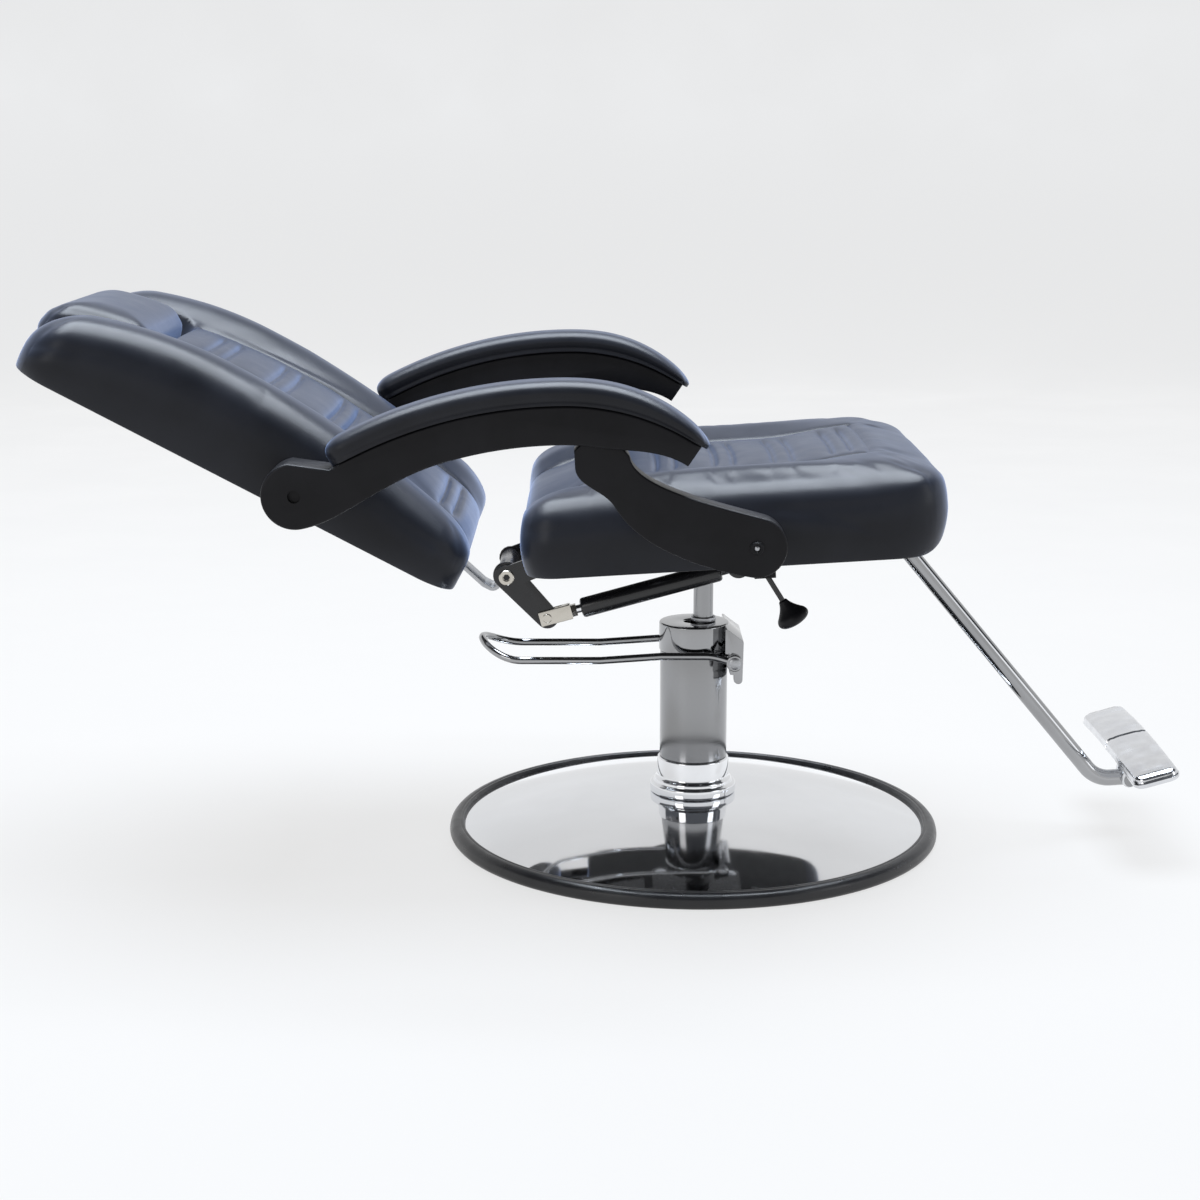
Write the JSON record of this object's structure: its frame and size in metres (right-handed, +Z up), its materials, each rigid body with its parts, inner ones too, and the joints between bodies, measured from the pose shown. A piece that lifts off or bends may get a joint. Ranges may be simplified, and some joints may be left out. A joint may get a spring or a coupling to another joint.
{
  "type": "barber chair",
  "caption": "Reclining barber chair: padded seat, back and headrest, arms that follow the back, gas-spring recline, hydraulic column on a round chrome base, and a sloping footrest.",
  "frame": {"origin": "on the floor at the centre of the round base", "axes": "+X towards the front of the chair and its footrest, +Y to the sitter's left, +Z up"},
  "size_m": [1.3233, 0.626, 0.6587],
  "materials": {
    "chrome": "mirror chrome",
    "satin_chrome": "satin chrome",
    "nickel": "nickel plate",
    "cast_aluminium": "polished casting",
    "steel": "plain steel",
    "black_steel": "satin black paint",
    "black_plastic": "moulded, satin",
    "rubber": "matt",
    "leather": "glossy coated",
    "pad": "satin skin",
    "plywood": "raw"
  },
  "bodies": {
    "base": {"base_plate": "steel", "rim_ring": "rubber", "base_dome": "chrome", "base_collar": "chrome", "pump_sleeve": "satin_chrome", "pump_cylinder": "steel", "pump_head": "chrome", "rod_wiper": "steel", "lever_pivot_pin": "steel"},
    "lever": {"pump_lever": "chrome"},
    "ram": {"ram_piston": "steel", "piston_seal": "rubber"},
    "seat": {"spindle": "satin_chrome", "mount_hub": "black_steel", "mount_plate": "black_steel", "seat_frame": "plywood", "seat_cushion": "leather", "hinge_bracket": "black_steel", "hinge_bolt": "satin_chrome", "spring_anchor": "black_steel", "anchor_pin": "steel", "release_bracket": "black_plastic", "footrest_socket": "black_steel", "footrest_stem": "chrome", "footplate_pin": "satin_chrome", "arm_screw_right": "satin_chrome", "arm_screw_left": "satin_chrome"},
    "backrest": {"back_frame": "plywood", "back_cushion": "leather", "back_bar": "steel", "hinge_barrel": "black_steel", "recline_crank": "black_steel", "arm_pivot_bolt_right": "steel", "arm_pivot_bolt_left": "steel", "headrest_guide_right": "black_plastic", "headrest_guide_left": "black_plastic"},
    "headrest": {"headrest_cushion": "leather", "headrest_board": "plywood", "headrest_post_right": "chrome", "headrest_post_left": "chrome"},
    "arm_right": {"arm_body_right": "black_plastic", "arm_pad_right": "pad"},
    "arm_left": {"arm_body_left": "black_plastic", "arm_pad_left": "pad"},
    "support_right": {"arm_support_right": "black_plastic", "support_pin_right": "steel"},
    "support_left": {"arm_support_left": "black_plastic", "support_pin_left": "steel"},
    "gas_rod": {"spring_clevis": "nickel", "clevis_pin": "steel", "spring_rod": "satin_chrome", "lock_nut": "nickel"},
    "gas_cylinder": {"spring_cylinder": "black_steel"},
    "release": {"release_rod": "satin_chrome", "release_knob": "black_plastic"},
    "footplate": {"footplate": "cast_aluminium"}
  },
  "joints": [
    {"name": "lift", "type": "slide", "parent": "base", "child": "ram", "axis": [0, 0, 1], "range_m": [0, 0.15]},
    {"name": "swivel", "type": "hinge", "parent": "ram", "child": "seat", "pos_m": [0.011, 0, 0.2], "axis": [0, 0, 1], "continuous": true},
    {"name": "recline", "type": "hinge", "parent": "seat", "child": "backrest", "pos_m": [-0.225, 0, 0.33], "axis": [0, 1, 0], "range_deg": [0, 42]},
    {"name": "headrest_slide", "type": "slide", "parent": "backrest", "child": "headrest", "axis": [-0.8838, 0, 0.4679], "range_m": [0, 0.1]},
    {"name": "arm_pivot_right", "type": "hinge", "parent": "backrest", "child": "arm_right", "pos_m": [-0.44, -0.284, 0.467], "axis": [0, 1, 0], "range_deg": [-38, 0]},
    {"name": "arm_pivot_left", "type": "hinge", "parent": "backrest", "child": "arm_left", "pos_m": [-0.44, 0.284, 0.467], "axis": [0, 1, 0], "range_deg": [-38, 0]},
    {"name": "support_pivot_right", "type": "hinge", "parent": "seat", "child": "support_right", "pos_m": [0.054, -0.284, 0.41], "axis": [0, 1, 0], "range_deg": [0, 49]},
    {"name": "support_pivot_left", "type": "hinge", "parent": "seat", "child": "support_left", "pos_m": [0.054, 0.284, 0.41], "axis": [0, 1, 0], "range_deg": [0, 49]},
    {"name": "spring_pivot", "type": "hinge", "parent": "backrest", "child": "gas_rod", "pos_m": [-0.17726, -0.05, 0.27881], "axis": [0, 1, 0], "range_deg": [-44.5, 0]},
    {"name": "spring_stroke", "type": "slide", "parent": "gas_rod", "child": "gas_cylinder", "axis": [0.9645, 0, 0.264], "range_m": [0, 0.0502]},
    {"name": "lever_pivot", "type": "hinge", "parent": "base", "child": "lever", "pos_m": [0.047, 0, 0.2223], "axis": [0, -1, 0], "range_deg": [0, 20], "stiffness_Nm_per_rad": 3, "springref_deg": -28.65},
    {"name": "release_pivot", "type": "hinge", "parent": "seat", "child": "release", "pos_m": [0.07, -0.2, 0.364], "axis": [0, -1, 0], "range_deg": [0, 15], "stiffness_Nm_per_rad": 0.3, "springref_deg": -11.46},
    {"name": "footplate_tilt", "type": "hinge", "parent": "seat", "child": "footplate", "pos_m": [0.53536, 0, 0.06632], "axis": [0, 1, 0], "range_deg": [-15, 15]}
  ],
  "couplings": [
    {"joint": "arm_pivot_right", "follows": "recline", "ratio": -0.8919},
    {"joint": "arm_pivot_left", "follows": "recline", "ratio": -0.8919},
    {"joint": "support_pivot_right", "follows": "recline", "ratio": 1.1453},
    {"joint": "support_pivot_left", "follows": "recline", "ratio": 1.1453},
    {"joint": "spring_pivot", "follows": "recline", "ratio": -1.0444},
    {"joint": "spring_stroke", "follows": "recline", "m_per_rad": 0.06746}
  ]
}
